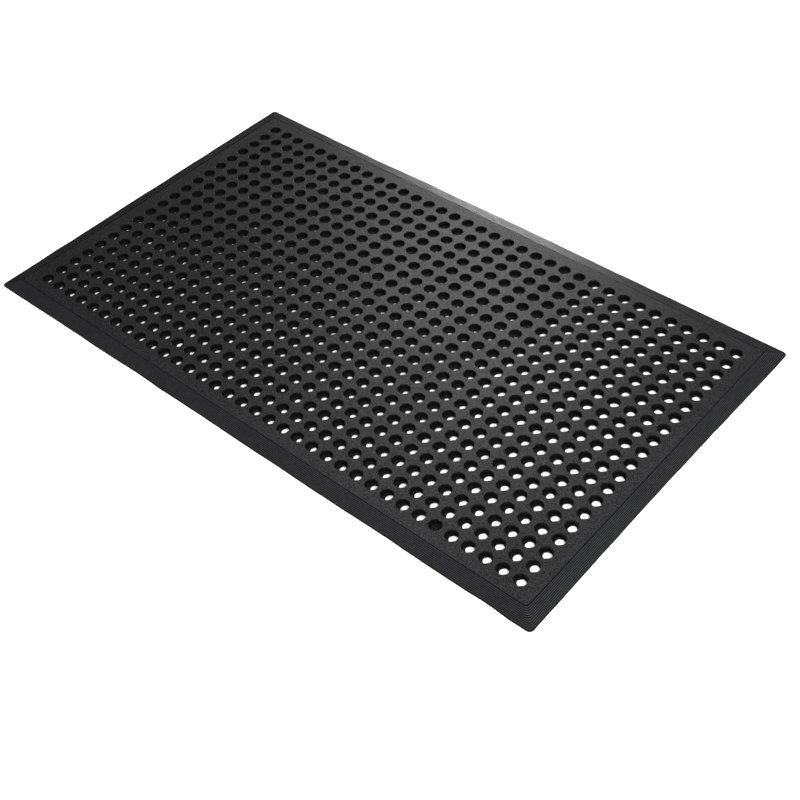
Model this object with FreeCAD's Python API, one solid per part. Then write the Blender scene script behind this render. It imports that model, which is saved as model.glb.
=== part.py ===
import FreeCAD, Part
import math
import os
from FreeCAD import Vector

# Perforated rubber drainage mat.  Frame: X along the length, Y across, Z up,
# origin on the floor under the middle of the mat.  All sizes in millimetres.

# Outline
LENGTH, WIDTH, THICKNESS = 1500.0, 900.0, 12.0
CORNER_R = 8.0               # rounding of the four outer corners, in plan

# Field of drain pockets: a plain square lattice, centred on the mat
PITCH = 39.6
COLUMNS, ROWS = 35, 20
POCKET_TOP = 27.0            # octagon across its flats at the standing surface
POCKET_FOOT = 25.6           # and at the foot, for mould draft

# Layers, from the floor up
STUD_H = 2.0                 # stand-off that lets water run away under the mat
WEB_T = 1.0                  # skin across the foot of the pockets
DECK_Z = STUD_H + WEB_T
STUD_D = 10.0

# Drain openings through the skin; their cores sit off the pocket centres
OPENING_WIDE_D = 9.4         # under the first 25 columns
SHIFT_WIDE = (4.5, -0.5)
OPENING_NARROW_D = 18.4      # under the last ten columns
SHIFT_NARROW = (5.3, -0.6)
WIDE_COLUMNS = 25
BLIND = (29, 19)             # column and row of the one pocket left unpierced
PANEL_SEAM = 6.0             # seam beyond the stud line, so no stud is cut

# Ribbed bevel round the edge
RAMP_W = 32.4                # from the outline to the inner top edge
GROOVE_W = 1.2               # groove between bevel and deck
GROOVE_DEPTH = 3.0
LIP_H = 1.5                  # thickness at the outline
RAMP_TOP = 11.4              # height at the inner top edge
RIBS, RIB_PITCH, RIB_FIRST = 10, 3.1, 3.0
RIB_FOOT_W, RIB_TOP_W, RIB_H = 2.5, 1.2, 0.8
LAP = 20.0                   # foot of the bevel bonded under the deck's margin
SPARE = 1.0                  # how far the cutting shapes reach past the bevel

DECK_X = LENGTH / 2 - RAMP_W - GROOVE_W
DECK_Y = WIDTH / 2 - RAMP_W - GROOVE_W
WEB_X, WEB_Y = DECK_X - LAP, DECK_Y - LAP


def column_x(i):
    return (i - (COLUMNS - 1) / 2) * PITCH


def row_y(j):
    return ((ROWS - 1) / 2 - j) * PITCH      # row 0 is at the back (+Y)


def rectangle(x0, x1, y0, y1, z):
    return [Vector(x0, y0, z), Vector(x1, y0, z), Vector(x1, y1, z), Vector(x0, y1, z)]


def octagon(cx, cy, z, flats):
    r = flats / 2 / math.cos(math.pi / 8)
    turns = [math.pi / 8 + k * math.pi / 4 for k in range(8)]
    return [Vector(cx + r * math.cos(t), cy + r * math.sin(t), z) for t in turns]


def loop(points):
    return Part.makePolygon(points + points[:1])


def walls(lower, upper):
    n = len(lower)
    return [Part.Face(loop([lower[k], lower[(k + 1) % n], upper[(k + 1) % n], upper[k]]))
            for k in range(n)]


def closed_solid(faces):
    shell = Part.makeShell(faces)
    shell.sewShape()
    solid = Part.Solid(shell if shell.ShapeType == "Shell" else shell.Shells[0])
    if solid.Volume < 0:
        solid.reverse()
    return solid


def tread_deck():
    """Flat deck with an octagonal pocket right through it at every lattice point."""
    centres = [(column_x(i), row_y(j)) for i in range(COLUMNS) for j in range(ROWS)]
    low = rectangle(-DECK_X, DECK_X, -DECK_Y, DECK_Y, DECK_Z)
    high = rectangle(-DECK_X, DECK_X, -DECK_Y, DECK_Y, THICKNESS)
    faces = walls(low, high)
    for outer, flats in ((low, POCKET_FOOT), (high, POCKET_TOP)):
        z = outer[0].z
        holes = [loop(octagon(x, y, z, flats)[::-1]) for x, y in centres]
        faces.append(Part.Face([loop(outer)] + holes))
    for x, y in centres:
        faces += walls(octagon(x, y, DECK_Z, POCKET_FOOT),
                       octagon(x, y, THICKNESS, POCKET_TOP))
    return closed_solid(faces)


def ring(x, y, z, d, down=False):
    axis = Vector(0, 0, -1) if down else Vector(0, 0, 1)
    return Part.makeCircle(d / 2, Vector(x, y, z), axis)


def base_web(x0, x1, columns, opening_d, shift):
    """Thin skin with one round opening per pocket, standing on short round studs."""
    openings = [(column_x(i) + shift[0], row_y(j) + shift[1])
                for i in columns for j in range(ROWS) if (i, j) != BLIND]
    studs = [(column_x(i) + PITCH / 2, row_y(j) - PITCH / 2)
             for i in columns if i < COLUMNS - 1 for j in range(ROWS - 1)]
    low = rectangle(x0, x1, -WEB_Y, WEB_Y, STUD_H)
    high = rectangle(x0, x1, -WEB_Y, WEB_Y, DECK_Z)
    faces = walls(low, high)
    faces.append(Part.Face([loop(high)] + [Part.Wire(ring(x, y, DECK_Z, opening_d, True))
                                           for x, y in openings]))
    faces.append(Part.Face([loop(low)]
                           + [Part.Wire(ring(x, y, STUD_H, opening_d, True)) for x, y in openings]
                           + [Part.Wire(ring(x, y, STUD_H, STUD_D, True)) for x, y in studs]))
    for x, y in openings:
        faces.append(ring(x, y, STUD_H, opening_d).extrude(Vector(0, 0, WEB_T)))
    for x, y in studs:
        faces.append(ring(x, y, 0, STUD_D).extrude(Vector(0, 0, STUD_H)))
        faces.append(Part.Face(Part.Wire(ring(x, y, 0, STUD_D))))
    return closed_solid(faces)


def ramp_profile():
    """Section of the bevel as (distance inward from the outline, height) pairs."""
    slope = math.atan2(RAMP_TOP - LIP_H, RAMP_W)
    rise = math.tan(slope)

    def on_slope(u, lift=0.0):
        return (u - lift * math.sin(slope), LIP_H + u * rise + lift * math.cos(slope))

    inner = RAMP_W + GROOVE_W
    points = [(0, 0), (inner + LAP, 0), (inner + LAP, DECK_Z), (inner, DECK_Z),
              (inner, THICKNESS - GROOVE_DEPTH), (RAMP_W, THICKNESS - GROOVE_DEPTH),
              (RAMP_W, RAMP_TOP)]
    for k in reversed(range(RIBS)):
        u = RIB_FIRST + k * RIB_PITCH
        points += [on_slope(u + RIB_FOOT_W / 2), on_slope(u + RIB_TOP_W / 2, RIB_H),
                   on_slope(u - RIB_TOP_W / 2, RIB_H), on_slope(u - RIB_FOOT_W / 2)]
    return points + [(0, LIP_H)]


def front_ramp(length, width):
    """Bevel along the -Y side of a mat of this length and width, mitred at both ends."""
    section = [Vector(-length / 2, -width / 2 + u, z) for u, z in ramp_profile()]
    bar = Part.Face(loop(section)).extrude(Vector(length, 0, 0))
    half = length / 2
    reach = RAMP_W + GROOVE_W + LAP + SPARE
    mitre = Part.Face(loop([Vector(-half, -width / 2, 0), Vector(half, -width / 2, 0),
                            Vector(half - reach, -width / 2 + reach, 0),
                            Vector(-half + reach, -width / 2 + reach, 0)]))
    plan = Part.makeBox(length, width, THICKNESS + 2 * SPARE, Vector(-half, -width / 2, -SPARE))
    uprights = [e for e in plan.Edges if abs(e.Vertexes[0].Z - e.Vertexes[1].Z) > THICKNESS / 2]
    plan = plan.makeFillet(CORNER_R, uprights)
    ramp = bar.common(mitre.extrude(Vector(0, 0, THICKNESS))).common(plan)
    return ramp.Solids[0]


def turned(shape, degrees):
    copy = shape.copy()
    copy.rotate(Vector(0, 0, 0), Vector(0, 0, 1), degrees)
    return copy


def build():
    seam_x = column_x(WIDE_COLUMNS - 1) + PITCH / 2 + PANEL_SEAM
    long_ramp = front_ramp(LENGTH, WIDTH)
    short_ramp = front_ramp(WIDTH, LENGTH)
    return {
        "tread_deck": tread_deck(),
        "base_web_wide": base_web(-WEB_X, seam_x, range(0, WIDE_COLUMNS),
                                  OPENING_WIDE_D, SHIFT_WIDE),
        "base_web_narrow": base_web(seam_x, WEB_X, range(WIDE_COLUMNS, COLUMNS),
                                    OPENING_NARROW_D, SHIFT_NARROW),
        "ramp_front": long_ramp,
        "ramp_back": turned(long_ramp, 180),
        "ramp_right": turned(short_ramp, 90),
        "ramp_left": turned(short_ramp, -90),
    }


os.makedirs("parts", exist_ok=True)
for name, shape in build().items():
    shape.exportStep("parts/" + name + ".step")
    print(name, shape.ShapeType, "closed", shape.isClosed(), "volume %.1f cm3" % (shape.Volume / 1000))
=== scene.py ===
import math

import bpy
import numpy as np
from mathutils import Matrix, Vector


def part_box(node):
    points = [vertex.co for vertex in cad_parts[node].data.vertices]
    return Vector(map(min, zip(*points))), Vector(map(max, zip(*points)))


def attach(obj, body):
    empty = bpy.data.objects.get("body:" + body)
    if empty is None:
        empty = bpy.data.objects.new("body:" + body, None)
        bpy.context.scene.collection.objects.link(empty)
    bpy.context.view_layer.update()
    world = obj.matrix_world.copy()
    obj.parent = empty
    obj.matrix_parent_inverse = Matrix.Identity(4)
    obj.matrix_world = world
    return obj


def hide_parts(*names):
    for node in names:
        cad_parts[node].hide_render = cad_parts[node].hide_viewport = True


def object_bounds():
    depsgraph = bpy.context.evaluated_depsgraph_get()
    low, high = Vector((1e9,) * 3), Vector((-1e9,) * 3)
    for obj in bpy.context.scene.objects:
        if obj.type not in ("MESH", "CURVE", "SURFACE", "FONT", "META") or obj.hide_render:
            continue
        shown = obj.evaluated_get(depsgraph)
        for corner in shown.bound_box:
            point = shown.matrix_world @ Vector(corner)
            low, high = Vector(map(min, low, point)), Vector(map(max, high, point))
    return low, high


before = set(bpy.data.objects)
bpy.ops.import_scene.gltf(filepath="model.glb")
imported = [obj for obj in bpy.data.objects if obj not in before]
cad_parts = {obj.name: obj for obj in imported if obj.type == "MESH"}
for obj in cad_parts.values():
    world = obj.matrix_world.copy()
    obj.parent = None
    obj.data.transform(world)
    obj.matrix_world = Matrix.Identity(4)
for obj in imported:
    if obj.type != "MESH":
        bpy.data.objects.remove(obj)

cad_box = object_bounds()
MM = 0.001


def box_mm(box):
    """Low and high corner of a box of the frame, in millimetres to two places."""
    return [[round(v / MM, 2) for v in corner] for corner in box]


# ---------------------------------------------------------------- sizes, in millimetres
# Outline, deck and skin come from the frame. Groove, bevel, ribs, pitch and pocket repeat the CAD.
# Eased edges and corners, scatter and unevenness are only here.
LENGTH, WIDTH, THICK = [hi - lo for lo, hi in zip(*box_mm(cad_box))]
DECK_LOW, DECK_HIGH = box_mm(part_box("tread_deck"))
SKIN_LOW, SKIN_HIGH = box_mm(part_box("base_web_narrow"))
DECK_X, DECK_Y = DECK_HIGH[:2]
DECK_Z = DECK_LOW[2]
LAP = DECK_X - SKIN_HIGH[0]
PANEL_SEAM_X = SKIN_LOW[0]
GROOVE_W, GROOVE_DEPTH = 1.2, 3.0
RAMP_W = LENGTH / 2 - DECK_X - GROOVE_W
LIP_H, RAMP_TOP = 1.5, 11.4
PITCH, COLUMNS, ROWS = 39.6, 35, 20
SKIN_T = 1.0
WEB_Z = DECK_Z - SKIN_T
RIBS, RIB_PITCH, RIB_FIRST, RIB_H = 10, 3.1, 3.0, 0.8
FIRST_RIB = 0.75             # the outermost rib is this much of full height
CORNER_R = 8.0
FIELD_X, FIELD_Y = COLUMNS * PITCH / 2, ROWS * PITCH / 2
WIDE_COLUMNS = 25            # columns over the first of the two skins
WALL_TOP, WALL_FOOT = 13.5, 12.8     # pocket middle to its flats, at the top and at the foot
RIM_R, POCKET_CORNER_R = 0.4, 1.8    # eased rim, and eased corners of the octagon
POCKET_SCATTER = 0.10        # how far a pocket sits off its lattice point
RIM_BAND = 0.7               # ring of finer mesh round each rim
HALF_ROUND = 0.293           # 1 - cos 45 degrees, the middle of a quarter round
DECK_EDGE_R, DECK_CORNER_R = 0.5, 7  # eased edge at the groove, and the deck's corners in plan
SIDE_POINTS = 6              # points along one side of a pocket's square cell
LOOP_POINTS = 4 * SIDE_POINTS        # points round the pocket and round the cell
BULK_H, SINK_H = 0.30, 0.14  # height of the sheet's slow waves and of its sink marks
BLIND = (29, 19)             # column and row of the closed pocket
HALF_WEBBED = (17, 17)       # and of the one with flash left across it
WELD_PER_M = 1e7             # points closer than a ten-millionth of a metre become one

rng = np.random.default_rng(41)


def column_x(i):
    return (i - (COLUMNS - 1) / 2) * PITCH


def row_y(j):
    return ((ROWS - 1) / 2 - j) * PITCH


# ---------------------------------------------------------------- mesh helpers
class Builder:
    """Collects vertices in millimetres and faces, then makes one welded mesh object."""

    def __init__(self):
        self.v, self.f, self.n = [], [], 0
        self.wear_and_highlight = []               # index arrays of the rubbed points, which the materials paint lighter as scuffing and as painted highlight

    def points(self, p):
        p = np.asarray(p, float).reshape(-1, 3)
        start = self.n
        self.v.append(p)
        self.n += len(p)
        return np.arange(start, self.n)

    def bridge(self, a, b, closed=True):
        """Quads between two loops with as many points; seen from outside, a runs on b's right."""
        m = len(a)
        for k in range(m if closed else m - 1):
            l = (k + 1) % m
            self.f.append((a[k], a[l], b[l], b[k]))

    def face(self, *idx):
        self.f.append(tuple(int(i) for i in idx))

    def make(self, name, sharp_deg=40.0):
        verts = np.vstack(self.v) * MM
        keys = np.round(verts * WELD_PER_M).astype(np.int64)
        _, first, back = np.unique(keys, axis=0, return_index=True, return_inverse=True)
        back = np.asarray(back).reshape(-1)
        faces = []
        for face in self.f:
            ring = []
            for i in face:
                j = int(back[i])
                if not ring or ring[-1] != j:
                    ring.append(j)
            if len(ring) > 1 and ring[0] == ring[-1]:
                ring.pop()
            if len(ring) > 2:
                faces.append(ring)
        mesh = bpy.data.meshes.new(name)
        mesh.from_pydata([tuple(p) for p in verts[first]], [], faces)
        mesh.validate()
        mesh.polygons.foreach_set("use_smooth", np.ones(len(mesh.polygons), bool))
        mesh.set_sharp_from_angle(angle=math.radians(sharp_deg))
        wear_and_highlight = np.zeros(len(verts[first]), np.float32)
        if self.wear_and_highlight:
            wear_and_highlight[back[np.concatenate(self.wear_and_highlight)]] = 1.0
        mesh.attributes.new("wear_and_highlight", "FLOAT", "POINT").data.foreach_set("value", wear_and_highlight)
        obj = bpy.data.objects.new(name, mesh)
        bpy.context.collection.objects.link(obj)
        return obj


def waves(count, lengths, seed):
    """A smooth random height field: a sum of plane waves between two wavelengths in mm."""
    r = np.random.default_rng(seed)
    lam = np.exp(r.uniform(math.log(lengths[0]), math.log(lengths[1]), count))
    ang, ph = r.uniform(0, 2 * math.pi, count), r.uniform(0, 2 * math.pi, count)
    amp = lam / lam.sum()

    def field(x, y):
        x, y = np.asarray(x, float), np.asarray(y, float)
        out = np.zeros(np.broadcast(x, y).shape)
        for l, a, p, s in zip(lam, ang, ph, amp):
            out = out + s * np.sin(2 * math.pi * (x * math.cos(a) + y * math.sin(a)) / l + p)
        return out
    return field


bulk = waves(9, (260, 700), 3)       # the sheet never lies quite flat
sinks = waves(24, (38, 95), 5)       # sink marks between the pockets


def deck_height(x, y):
    """How far the standing surface lies above or below its nominal height."""
    return BULK_H * bulk(x, y) + SINK_H * sinks(x, y)


# ---------------------------------------------------------------- the perforated deck
def pocket_loop(apothem):
    """Points round an octagon whose corners are eased: the ends and the middle of each flat."""
    round_r = max(POCKET_CORNER_R + apothem - WALL_TOP, 0.5)
    t = (apothem - round_r) * math.tan(math.pi / 8)
    pts = []
    for k in range(8):
        a = k * math.pi / 4
        c, s = math.cos(a), math.sin(a)
        for x, y in ((apothem, -t), (apothem, 0.0), (apothem, t)):
            pts.append((x * c - y * s, x * s + y * c))
    return np.roll(np.array(pts), -1, axis=0)      # first point is the middle of a flat


def cell_loop():
    """Points round one square cell, matching pocket_loop."""
    h, q = PITCH / 2, PITCH / 6
    side = [(h, 0), (h, q), (h, 2 * q), (h, h), (2 * q, h), (q, h)]
    pts = []
    for k in range(4):
        c, s = (1, 0, -1, 0)[k], (0, 1, 0, -1)[k]
        pts += [(x * c - y * s, x * s + y * c) for x, y in side]
    return np.array(pts, float)


def make_deck():
    """The flat deck with its pockets, its plain margin and the wall at the groove."""
    b = Builder()
    square = cell_loop()
    # rings from the flat top round the rim and down the wall: half width, height, share of deck_height
    rings = [(WALL_TOP + RIM_R + RIM_BAND, THICK, 1.0), (WALL_TOP + RIM_R, THICK, 1.0),
             (WALL_TOP + HALF_ROUND * RIM_R, THICK - HALF_ROUND * RIM_R, 1.0),
             (WALL_TOP, THICK - RIM_R, 1.0), (WALL_FOOT, DECK_Z, 0.0)]
    loops = [pocket_loop(a) for a, _, _ in rings]
    for i in range(COLUMNS):
        for j in range(ROWS):
            cx, cy = column_x(i), row_y(j)
            sx, sy = square[:, 0] + cx, square[:, 1] + cy
            outer = b.points(np.c_[sx, sy, THICK + deck_height(sx, sy)])
            last = outer
            lean = rng.normal(0, POCKET_SCATTER, 2)
            for k, ((_, z, lift), loop) in enumerate(zip(rings, loops)):
                x, y = loop[:, 0] + cx + lean[0], loop[:, 1] + cy + lean[1]
                ring = b.points(np.c_[x, y, z + lift * deck_height(x, y)])
                b.bridge(last, ring)
                last = ring
                # the rim rings are painted lighter: scuffing plus painted highlight along each rim
                if 0 < k < len(rings) - 1:
                    b.wear_and_highlight.append(ring)
            corners = b.points([(cx + sxx * PITCH / 2, cy + syy * PITCH / 2, DECK_Z)
                                for sxx, syy in ((1, 1), (-1, 1), (-1, -1), (1, -1))])
            for k in range(LOOP_POINTS):
                b.face(last[k], last[(k + 1) % LOOP_POINTS], corners[k // SIDE_POINTS])
            for k in range(4):
                b.face(last[SIDE_POINTS * (k + 1) % LOOP_POINTS], corners[(k + 1) % 4], corners[k])
    # margin round the field, then the rounded edge into the groove and the side wall
    nx, ny = COLUMNS * SIDE_POINTS, ROWS * SIDE_POINTS

    def perimeter(hx, hy, rc):
        """Counterclockwise: each straight side keeps the field's spacing, each corner is an arc."""
        xs = np.linspace(-FIELD_X, FIELD_X, nx + 1)
        ys = np.linspace(-FIELD_Y, FIELD_Y, ny + 1)
        arcs = []
        for sx, sy, a0 in ((1, -1, -90), (1, 1, 0), (-1, 1, 90), (-1, -1, 180)):
            if rc == 0:
                arcs.append([(sx * hx, sy * hy)] * 5)
            else:
                arcs.append([(sx * (hx - rc) + rc * math.cos(math.radians(a0 + t)),
                              sy * (hy - rc) + rc * math.sin(math.radians(a0 + t)))
                             for t in (0, 22.5, 45, 67.5, 90)])
        pts = [(x, -hy) for x in xs] + arcs[0] + [(hx, y) for y in ys] + arcs[1]
        pts += [(x, hy) for x in xs[::-1]] + arcs[2] + [(-hx, y) for y in ys[::-1]] + arcs[3]
        return np.array(pts)

    edge = DECK_EDGE_R
    flat_x, flat_y = DECK_X - edge - FIELD_X, DECK_Y - edge - FIELD_Y
    last = None
    for share, corner_r in ((0.0, 0), (0.5, 5), (0.93, DECK_CORNER_R)):
        p = perimeter(FIELD_X + share * flat_x, FIELD_Y + share * flat_y, corner_r)
        ring = b.points(np.c_[p, THICK + deck_height(p[:, 0], p[:, 1])])
        if last is not None:
            b.bridge(ring, last)
        last = ring
    # the eased edge into the groove is painted lighter too: scuffing plus painted highlight
    for dx, dz in ((-edge, 0), (-0.29 * edge, -0.29 * edge), (0, -edge)):
        p = perimeter(DECK_X + dx, DECK_Y + dx, DECK_CORNER_R)
        ring = b.points(np.c_[p, THICK + dz + deck_height(p[:, 0], p[:, 1])])
        b.bridge(ring, last)
        b.wear_and_highlight.append(ring)
        last = ring
    p = perimeter(DECK_X, DECK_Y, DECK_CORNER_R)
    foot = b.points(np.c_[p, np.full(len(p), DECK_Z)])
    b.bridge(foot, last)
    # underside margin, down to the cell corners that the underside of the field uses
    xs = [-FIELD_X + k * PITCH for k in range(COLUMNS + 1)]
    ys = [-FIELD_Y + k * PITCH for k in range(ROWS + 1)]
    inner = []
    for q in p:
        inner.append((min(xs, key=lambda v: abs(v - q[0])), min(ys, key=lambda v: abs(v - q[1]))))
    inner = b.points([(x, y, DECK_Z) for x, y in inner])
    b.bridge(inner, foot)
    return b.make("deck_skin", 50)


# ---------------------------------------------------------------- the skin under the pockets
FLASH_LOST, FLASH_W = 0.06, 1.1      # share of openings that have lost their flash, and its width
SCATTER, SMALLEST = 0.35, 2.6        # scatter of an opening's middle, and its least radius
HALF_WEBBED_OPENING = (-2.6, 4.6, 4.0)       # x and y of its middle, and its radius
OPENING_SIDES, STUD_SIDES = 20, 14
OPENING_BEVEL, OPENING_FLARE = 0.12, 1.04    # eased upper edge: its depth, and how far it widens
STUD_RINGS = ((5.3, 2.0), (5.0, 1.6), (5.0, 0.35), (4.7, 0.0))       # radius and height, going down
STUD_TOP = 2.3                               # a stud's closed end, inside the skin


def opening(i, j):
    """Centre offset and mean radius of the ragged drain opening under pocket (i, j)."""
    r = np.random.default_rng(1000 + 37 * i + j)
    jit = r.normal(0, 1, 3)
    # offset and size drift in millimetres per row across and per column along, from the panel's middle
    across = j - (ROWS - 1) / 2
    if i < WIDE_COLUMNS:
        along = i - (WIDE_COLUMNS - 1) / 2
        shift_x = 4.5 + 0.03 * along + 0.05 * across
        shift_y = -0.45 - 0.10 * along + 0.22 * across
        radius = 4.65 + 0.07 * along + 0.24 * across + 0.30 * jit[0]
        if r.random() < FLASH_LOST:
            radius += FLASH_W
    else:
        along = i - (WIDE_COLUMNS + COLUMNS - 1) / 2
        shift_x = 5.3 - 0.50 * along
        shift_y = -0.6 - 0.06 * along + 0.15 * across
        radius = 9.2 + 0.25 * jit[0]
    return shift_x + SCATTER * jit[1], shift_y + SCATTER * jit[2], max(radius, SMALLEST), r


def make_web(name, columns, x_lo, x_hi):
    """A skin with its ragged openings and the studs below it, for a run of columns."""
    b = Builder()
    seg = OPENING_SIDES
    ang = np.arange(seg) * 2 * math.pi / seg + math.pi / 4
    web_y = DECK_Y - LAP
    for i in columns:
        for j in range(ROWS):
            cx, cy = column_x(i), row_y(j)
            x0 = x_lo if i == columns[0] else cx - PITCH / 2
            x1 = x_hi if i == columns[-1] else cx + PITCH / 2
            y0 = -web_y if j == ROWS - 1 else cy - PITCH / 2
            y1 = web_y if j == 0 else cy + PITCH / 2
            quad = [(x1, y1), (x0, y1), (x0, y0), (x1, y0)]
            top = b.points([(x, y, DECK_Z) for x, y in quad])
            low = b.points([(x, y, WEB_Z) for x, y in quad])
            if (i, j) == BLIND:
                b.face(*top)
                b.face(*low[::-1])
            else:
                ox, oy, rad, r = opening(i, j)
                if (i, j) == HALF_WEBBED:
                    ox, oy, rad = HALF_WEBBED_OPENING
                ph = r.uniform(0, 2 * math.pi, 3)
                shape = 1 + 0.035 * np.sin(2 * ang + ph[0])
                shape += 0.025 * np.sin(3 * ang + ph[1])
                shape += 0.015 * np.sin(5 * ang + ph[2])
                px = cx + ox + rad * shape * np.cos(ang)
                py = cy + oy + rad * shape * np.sin(ang)
                up = b.points(np.c_[px, py, np.full(seg, DECK_Z - OPENING_BEVEL)])
                rim = b.points(np.c_[cx + ox + (px - cx - ox) * OPENING_FLARE,
                                     cy + oy + (py - cy - oy) * OPENING_FLARE,
                                     np.full(seg, DECK_Z)])
                dn = b.points(np.c_[px, py, np.full(seg, WEB_Z)])
                b.bridge(rim, up)
                b.bridge(up, dn)
                q = seg // 4
                for k in range(seg):
                    l = (k + 1) % seg
                    corner = (k // q + 1) % 4
                    b.face(rim[k], top[corner], rim[l])
                    b.face(dn[l], low[corner], dn[k])
                for m in range(4):
                    k = m * q
                    b.face(rim[k], top[m], top[(m + 1) % 4])
                    b.face(dn[k], low[(m + 1) % 4], low[m])
            if i == columns[0]:
                b.face(top[1], low[1], low[2], top[2])
            if i == columns[-1]:
                b.face(top[3], low[3], low[0], top[0])
            if j == 0:
                b.face(top[0], low[0], low[1], top[1])
            if j == ROWS - 1:
                b.face(top[2], low[2], low[3], top[3])
    # round stand-off studs, sunk a little into the skin
    m = STUD_SIDES
    sa = np.arange(m) * 2 * math.pi / m
    for i in columns:
        if i == COLUMNS - 1:
            continue
        for j in range(ROWS - 1):
            cx, cy = column_x(i) + PITCH / 2, row_y(j) - PITCH / 2
            last = None
            for rad, z in STUD_RINGS:
                ring = b.points(np.c_[cx + rad * np.cos(sa), cy + rad * np.sin(sa), np.full(m, z)])
                if last is not None:
                    b.bridge(ring, last)
                else:
                    cap = b.points(np.c_[cx + rad * np.cos(sa), cy + rad * np.sin(sa),
                                         np.full(m, STUD_TOP)])
                    b.bridge(ring, cap)
                    b.face(*cap)
                last = ring
            b.face(*last[::-1])
    return b.make(name, 35)


# ---------------------------------------------------------------- the ribbed bevel
# one rib across: distance from its middle, and share of its height
RIB_SHAPE = ((-1.25, 0.0), (-0.85, 0.8), (-0.6, 1.0), (0.6, 1.0), (0.85, 0.8), (1.25, 0.0))
FREE_W = 30.0                # the free edge bows and lifts over this width
LIFT, LIFT_LOSS = 3.2, 0.35  # height of the lip's waves off the floor, less this, and never below it
JOIN_Z, JOIN_H = 8.5, 2.5    # above this height the bevel takes up the deck's unevenness, over this rise
STEP = 10                    # spacing of the points along a side


def ramp_section():
    """(distance in from the outline, height) going up the bevel, into the groove and back under."""
    slope = math.atan2(RAMP_TOP - LIP_H, RAMP_W)
    tan, sn, cs = math.tan(slope), math.sin(slope), math.cos(slope)

    def at(u, lift=0.0):
        return (u - lift * sn, LIP_H + u * tan + lift * cs)

    # the lip, with both of its edges eased
    pts = [(0.45, 0.0), (0.12, 0.12), (0.0, 0.45), (0.0, 1.0), (0.15, 1.38), (0.5, LIP_H + 0.5 * tan)]
    wear_and_highlight = []
    for k in range(RIBS):
        c = RIB_FIRST + k * RIB_PITCH
        h = RIB_H * (FIRST_RIB if k == 0 else 1.0)
        for du, lift in RIB_SHAPE:
            pts.append(at(c + du, lift * h))
            # crest points are painted lighter (scuffing plus painted highlight); the rest of the bevel
            # is painted darker, painted shade in the grooves between ribs
            if lift == 1.0:
                wear_and_highlight.append(len(pts) - 1)
    # the eased inner edge, the groove, and the lap under the deck's margin
    z = LIP_H + RAMP_W * tan
    pts += [(RAMP_W - 0.12, z - 0.1), (RAMP_W, z - 0.4), (RAMP_W, THICK - GROOVE_DEPTH),
            (RAMP_W + GROOVE_W, THICK - GROOVE_DEPTH), (RAMP_W + GROOVE_W, DECK_Z),
            (RAMP_W + GROOVE_W + LAP, DECK_Z), (RAMP_W + GROOVE_W + LAP, 0.0)]
    return np.array(pts), wear_and_highlight


lip_side = waves(14, (45, 260), 11)
lip_lift = waves(10, (70, 320), 12)
lip_nicks = waves(16, (30, 85), 13)
# slow bows of the free edge: place on the outline, reach along it, millimetres outward
BOWS = ((-450, 450, 90, -2.2), (20, 450, 190, 3.1), (560, 450, 220, 1.9),
        (-400, -450, 300, 0.8), (150, -450, 250, 0.8), (640, -450, 150, 1.2),
        (715, -450, 22, 1.4), (650, -450, 16, -1.2), (210, -450, 45, 0.9),
        (-270, -450, 40, -1.0), (-480, -450, 30, -1.0),
        (-750, 60, 260, 1.5), (-750, -420, 120, 0.7), (750, 380, 110, 1.3), (750, -50, 150, -0.6))


def edge_out(x, y):
    """How far the free edge stands out from the outline."""
    out = 1.2 * lip_side(x, y) + 0.7 * lip_nicks(x, y)
    for bx, by, reach, mm in BOWS:
        out = out + mm * np.exp(-((x - bx) ** 2 + (y - by) ** 2) / (2 * reach ** 2))
    return out


def make_ramp(name, length, width, turn):
    """Bevel on the -Y side of a mat of this size, half a corner at each end, then turned."""
    b = Builder()
    section, wear_and_highlight = ramp_section()
    n = int(length // STEP)
    arc = [math.radians(t) for t in (45, 36, 27, 18, 9)]
    way = [(-math.sin(a), -math.cos(a)) for a in arc] + [(0.0, -1.0)] * (n + 1)
    way = np.array(way + [(math.sin(a), -math.cos(a)) for a in arc[::-1]])
    ca, sa = math.cos(math.radians(turn)), math.sin(math.radians(turn))
    loops = []
    for u, z in section:
        hx, hy, rc = length / 2 - u, width / 2 - u, CORNER_R
        left = [(-hx + rc - rc * math.sin(a), -hy + rc - rc * math.cos(a)) for a in arc]
        mid = [(x, -hy) for x in np.linspace(-hx + rc, hx - rc, n + 1)]
        line = np.array(left + mid + [(-x, y) for x, y in left[::-1]])
        x, y = line[:, 0] * ca - line[:, 1] * sa, line[:, 0] * sa + line[:, 1] * ca
        wx, wy = way[:, 0] * ca - way[:, 1] * sa, way[:, 0] * sa + way[:, 1] * ca
        free = max(0.0, 1 - u / FREE_W) ** 1.3
        out = edge_out(x, y) * free
        x, y = x + wx * out, y + wy * out
        zz = z + np.maximum(0.0, lip_lift(x, y) * LIFT - LIFT_LOSS) * free
        if u <= RAMP_W and z > JOIN_Z:
            zz = zz + deck_height(x, y) * min(1.0, (z - JOIN_Z) / JOIN_H)
        loops.append(b.points(np.c_[x, y, zz]))
    m = len(loops)
    for k in range(m):
        b.bridge(loops[k], loops[(k + 1) % m], closed=False)
    b.face(*[loops[k][0] for k in range(m)])
    b.face(*[loops[k][-1] for k in range(m)][::-1])
    b.wear_and_highlight = [loops[k] for k in wear_and_highlight]
    return b.make(name, 60)


# ---------------------------------------------------------------- materials
# object coordinates are in metres; the shade changes between these two heights at the pocket rims,
# painted shade that darkens the pocket walls below them
RIM_LOW, RIM_HIGH = 0.0100, 0.0114
MIX_A, MIX_B = 6, 7                  # the two colour sockets of a Mix node


def node(tree, kind, **values):
    """A node with values put on its sockets, or on its settings where it has no such socket."""
    n = tree.nodes.new(kind)
    for key, value in values.items():
        if key in n.inputs:
            n.inputs[key].default_value = value
        else:
            setattr(n, key, value)
    return n


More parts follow.
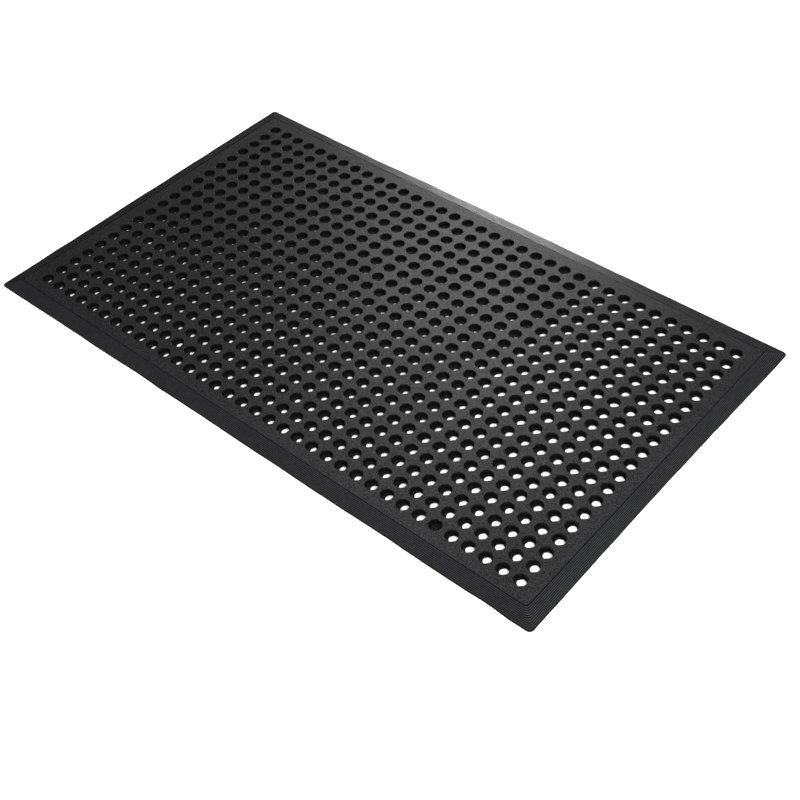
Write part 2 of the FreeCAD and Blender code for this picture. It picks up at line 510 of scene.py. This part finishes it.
def rubber(name, shade, rough, shine, edges=(1.0, 1.0), edge_shine=1.0, depth=1.0, grainy=1.0):
    """Moulded rubber of a mean shade, roughness and gloss.

    edges: factors on the shade of plain and rubbed points, scuffing plus painted highlight on rubbed
    points and painted shade on the rest; edge_shine: gloss of rubbed ones, both as factors.
    depth: factor on the shade below the standing surface, painted shade down the pockets; grainy:
    strength of the grain.
    """
    mat = bpy.data.materials.new(name)
    mat.use_nodes = True
    t = mat.node_tree
    t.nodes.clear()
    out = node(t, "ShaderNodeOutputMaterial")
    bsdf = node(t, "ShaderNodeBsdfPrincipled")
    t.links.new(bsdf.outputs[0], out.inputs[0])
    co = node(t, "ShaderNodeTexCoord").outputs["Object"]

    def noise(scale, detail=3.0, roughness=0.55):
        n = node(t, "ShaderNodeTexNoise", Scale=scale, Detail=detail, Roughness=roughness)
        t.links.new(co, n.inputs["Vector"])
        return n.outputs["Fac"]

    def ramp(fac, lo, hi, a, b_):
        n = node(t, "ShaderNodeMapRange")
        n.inputs["From Min"].default_value, n.inputs["From Max"].default_value = lo, hi
        n.inputs["To Min"].default_value, n.inputs["To Max"].default_value = a, b_
        t.links.new(fac, n.inputs["Value"])
        return n.outputs["Result"]

    def maths(op, a, b_):
        n = node(t, "ShaderNodeMath", operation=op)
        for k, v in enumerate((a, b_)):
            if hasattr(v, "links"):
                t.links.new(v, n.inputs[k])
            else:
                n.inputs[k].default_value = v
        return n.outputs[0]

    patches = ramp(noise(7.0, 4.0), 0.32, 0.68, 0.0, 1.0)          # broad bloom on the rubber
    smudge = ramp(noise(55.0, 5.0, 0.65), 0.35, 0.72, 0.0, 1.0)    # handling marks
    grain = noise(400.0, 2.0, 0.6)
    fleck = ramp(grain, 0.34, 0.66, 0.0, 1.0)     # moulded grain of a few millimetres
    mixfac = maths("ADD", maths("MULTIPLY", patches, 0.20),
                   maths("ADD", maths("MULTIPLY", smudge, 0.22), maths("MULTIPLY", fleck, 0.58)))
    col = node(t, "ShaderNodeMix", data_type="RGBA")
    col.inputs[MIX_A].default_value = (0.7 * shade, 0.7 * shade, 0.76 * shade, 1)
    col.inputs[MIX_B].default_value = (1.3 * shade, 1.3 * shade, 1.41 * shade, 1)
    t.links.new(mixfac, col.inputs[0])
    edge = node(t, "ShaderNodeAttribute", attribute_name="wear_and_highlight").outputs["Fac"]
    height = node(t, "ShaderNodeSeparateXYZ")
    t.links.new(co, height.inputs[0])
    scuff_and_painted_light = node(t, "ShaderNodeVectorMath", operation="SCALE")
    t.links.new(col.outputs[2], scuff_and_painted_light.inputs[0])
    # rubbed points lighter and the rest darker: scuffing plus painted highlight and painted shade
    rub_and_painted_light = ramp(edge, 0.0, 1.0, *edges)
    # painted shade: darker below the rims, down the pocket walls
    inside = ramp(height.outputs["Z"], RIM_LOW, RIM_HIGH, depth, 1.0)
    t.links.new(maths("MULTIPLY", rub_and_painted_light, inside), scuff_and_painted_light.inputs["Scale"])
    t.links.new(scuff_and_painted_light.outputs[0], bsdf.inputs["Base Color"])
    unevenness = maths("ADD", maths("MULTIPLY", patches, 0.4), maths("MULTIPLY", fleck, 0.6))
    roughness = maths("ADD", rough - 0.07, maths("MULTIPLY", unevenness, 0.14))
    t.links.new(roughness, bsdf.inputs["Roughness"])
    glint = ramp(grain, 0.39, 0.61, (1 - 0.75 * grainy) * shine, (1 + 0.75 * grainy) * shine)
    gloss = maths("MULTIPLY", glint, ramp(edge, 0.0, 1.0, 1.0, edge_shine))
    t.links.new(gloss, bsdf.inputs["Specular IOR Level"])
    # three reliefs, from pores of a millimetre to dimples of two centimetres
    fine = node(t, "ShaderNodeTexVoronoi", Scale=900.0)
    t.links.new(co, fine.inputs["Vector"])
    b1 = node(t, "ShaderNodeBump", Strength=0.10 * grainy, Distance=0.0004)
    t.links.new(fine.outputs["Distance"], b1.inputs["Height"])
    b2 = node(t, "ShaderNodeBump", Strength=0.28 * grainy, Distance=0.0010)
    t.links.new(noise(190.0, 2.0), b2.inputs["Height"])
    t.links.new(b1.outputs["Normal"], b2.inputs["Normal"])
    b3 = node(t, "ShaderNodeBump", Strength=0.16 * grainy, Distance=0.0020)
    t.links.new(noise(60.0, 2.0), b3.inputs["Height"])
    t.links.new(b2.outputs["Normal"], b3.inputs["Normal"])
    t.links.new(b3.outputs["Normal"], bsdf.inputs["Normal"])
    return mat


# rims and the groove edge painted half as light again (scuffing plus painted highlight); pocket walls
# painted half as dark (painted shade)
deck_rubber = rubber("deck_rubber", 0.0062, 0.36, 0.125, edges=(1.0, 1.5), edge_shine=0.4, depth=0.5)
# rib crests painted over three times lighter (scuffing plus painted highlight); the rest painted far
# darker, painted shade in the grooves
ramp_rubber = rubber("ramp_rubber", 0.0072, 0.33, 0.034, edges=(0.28, 3.2))
# darker copies of the bevel rubber: painted shade on the back and left bevels, the back one also
# glossier
back_ramp_painted_shade = rubber("back_ramp_painted_shade", 0.0042, 0.34, 0.052, edges=(0.5, 1.4), grainy=0.45)
left_ramp_painted_shade = rubber("left_ramp_painted_shade", 0.0032, 0.33, 0.020, edges=(0.5, 1.4), grainy=0.7)
# far darker than the deck: painted shade on the pocket floors
base_rubber = rubber("base_rubber", 0.0018, 0.50, 0.06)

# ---------------------------------------------------------------- pieces
web_x = DECK_X - LAP
pieces = [
    (make_deck(), deck_rubber, "deck_rubber", ("tread_deck",)),
    (make_web("web_skin_wide", list(range(WIDE_COLUMNS)), -web_x, PANEL_SEAM_X),
     base_rubber, "base_rubber", ("base_web_wide",)),
    (make_web("web_skin_narrow", list(range(WIDE_COLUMNS, COLUMNS)), PANEL_SEAM_X, web_x),
     base_rubber, "base_rubber", ("base_web_narrow",)),
    (make_ramp("bevel_front", LENGTH, WIDTH, 0), ramp_rubber, "ramp_rubber", ("ramp_front",)),
    (make_ramp("bevel_back", LENGTH, WIDTH, 180), back_ramp_painted_shade, "ramp_rubber", ("ramp_back",)),
    (make_ramp("bevel_right", WIDTH, LENGTH, 90), ramp_rubber, "ramp_rubber", ("ramp_right",)),
    (make_ramp("bevel_left", WIDTH, LENGTH, -90), left_ramp_painted_shade, "ramp_rubber", ("ramp_left",)),
]
for obj, mat, slot, nodes in pieces:
    obj.data.materials.append(mat)
    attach(obj, "root")
    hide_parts(*nodes)

# ---------------------------------------------------------------- floor, light and camera
mesh = bpy.data.meshes.new("floor")
half, drop = 9.0, -0.0003     # the floor lies a hair below the feet, so the two don't coincide
mesh.from_pydata([(-half, -half, drop), (half, -half, drop), (half, half, drop), (-half, half, drop)],
                 [], [(0, 1, 2, 3)])
floor = bpy.data.objects.new("floor", mesh)
bpy.context.collection.objects.link(floor)
white = bpy.data.materials.new("floor_white")
white.use_nodes = True
shader = white.node_tree.nodes["Principled BSDF"]
shader.inputs["Base Color"].default_value = (0.90, 0.90, 0.90, 1)
shader.inputs["Roughness"].default_value = 0.9
shader.inputs["Specular IOR Level"].default_value = 0.1
mesh.materials.append(white)

world = bpy.data.worlds.new("studio")
world.use_nodes = True
world.node_tree.nodes["Background"].inputs["Color"].default_value = (1, 1, 1, 1)
world.node_tree.nodes["Background"].inputs["Strength"].default_value = 0.3
bpy.context.scene.world = world


def softbox(name, bearing, elevation, distance, size, power):
    """Area light aimed at the origin; bearing is measured from +Y towards -X, in degrees."""
    light = bpy.data.lights.new(name, "AREA")
    light.shape = "RECTANGLE"
    light.size, light.size_y = size
    light.energy = power
    obj = bpy.data.objects.new(name, light)
    a, e = math.radians(bearing), math.radians(elevation)
    d = Vector((-math.sin(a) * math.cos(e), math.cos(a) * math.cos(e), math.sin(e)))
    obj.location = d * distance
    obj.rotation_euler = (-d).to_track_quat("-Z", "Y").to_euler()
    bpy.context.collection.objects.link(obj)


softbox("front_fill", 223, 40, 4.5, (2.5, 2.5), 190)
softbox("right_fill", -60, 50, 4.0, (2.0, 2.0), 160)
softbox("left_top", 95, 72, 3.6, (1.2, 1.2), 60)
softbox("sheen_high", 26, 48, 3.6, (0.7, 0.7), 15)
softbox("sheen", 34, 38, 3.6, (0.7, 0.7), 26)
softbox("sheen_left", 44, 38, 3.6, (0.7, 0.7), 7)
softbox("backdrop", 24, 3, 3.6, (0.8, 0.4), 112)
softbox("backdrop_wide", 29, 4, 3.6, (1.0, 0.4), 24)

CAMERA_AT = Vector((1.4481, -1.5418, 1.9015))
CAMERA_AIM = Vector((0.1595, -0.1955, 0.0))
CAMERA_ROLL = 3.59           # degrees, clockwise as the camera looks

cam = bpy.data.cameras.new("camera")
cam.sensor_width = 36.0
cam.lens = 57.99
cam.shift_x = 0.035
cam.clip_end = 50
eye = bpy.data.objects.new("camera", cam)
level = (CAMERA_AIM - CAMERA_AT).to_track_quat("-Z", "Y").to_matrix().to_4x4()
roll = Matrix.Rotation(math.radians(-CAMERA_ROLL), 4, "Z")
eye.matrix_world = Matrix.Translation(CAMERA_AT) @ level @ roll
bpy.context.collection.objects.link(eye)
bpy.context.scene.camera = eye
bpy.context.scene.view_settings.view_transform = "Standard"
bpy.context.scene.view_settings.look = "None"
